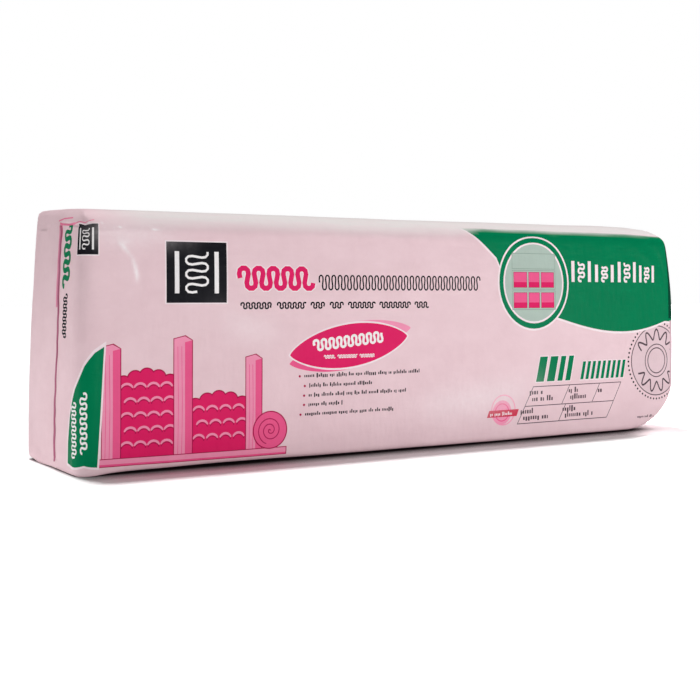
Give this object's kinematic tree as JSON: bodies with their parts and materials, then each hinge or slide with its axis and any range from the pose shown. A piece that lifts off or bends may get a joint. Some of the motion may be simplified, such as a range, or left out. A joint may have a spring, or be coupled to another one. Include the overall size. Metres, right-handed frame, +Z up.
{
  "type": "wrapped pack of glass wool batts",
  "caption": "Film-wrapped pack of pressed glass wool batts, resting on a long narrow side, with crowned faces and sealed gusseted ends.",
  "frame": {"origin": "middle of the base, on the floor", "axes": "+X along the batts towards the rounder end, +Y from the printed front to the back, +Z up"},
  "size_m": [1.2014, 0.2522, 0.3836],
  "materials": {
    "film": "soft gloss printed polyethylene film",
    "glass_wool": "fibrous pressed wool"
  },
  "bodies": {
    "root": {"film_bag": "film", "batts": "glass_wool"}
  },
  "joints": []
}
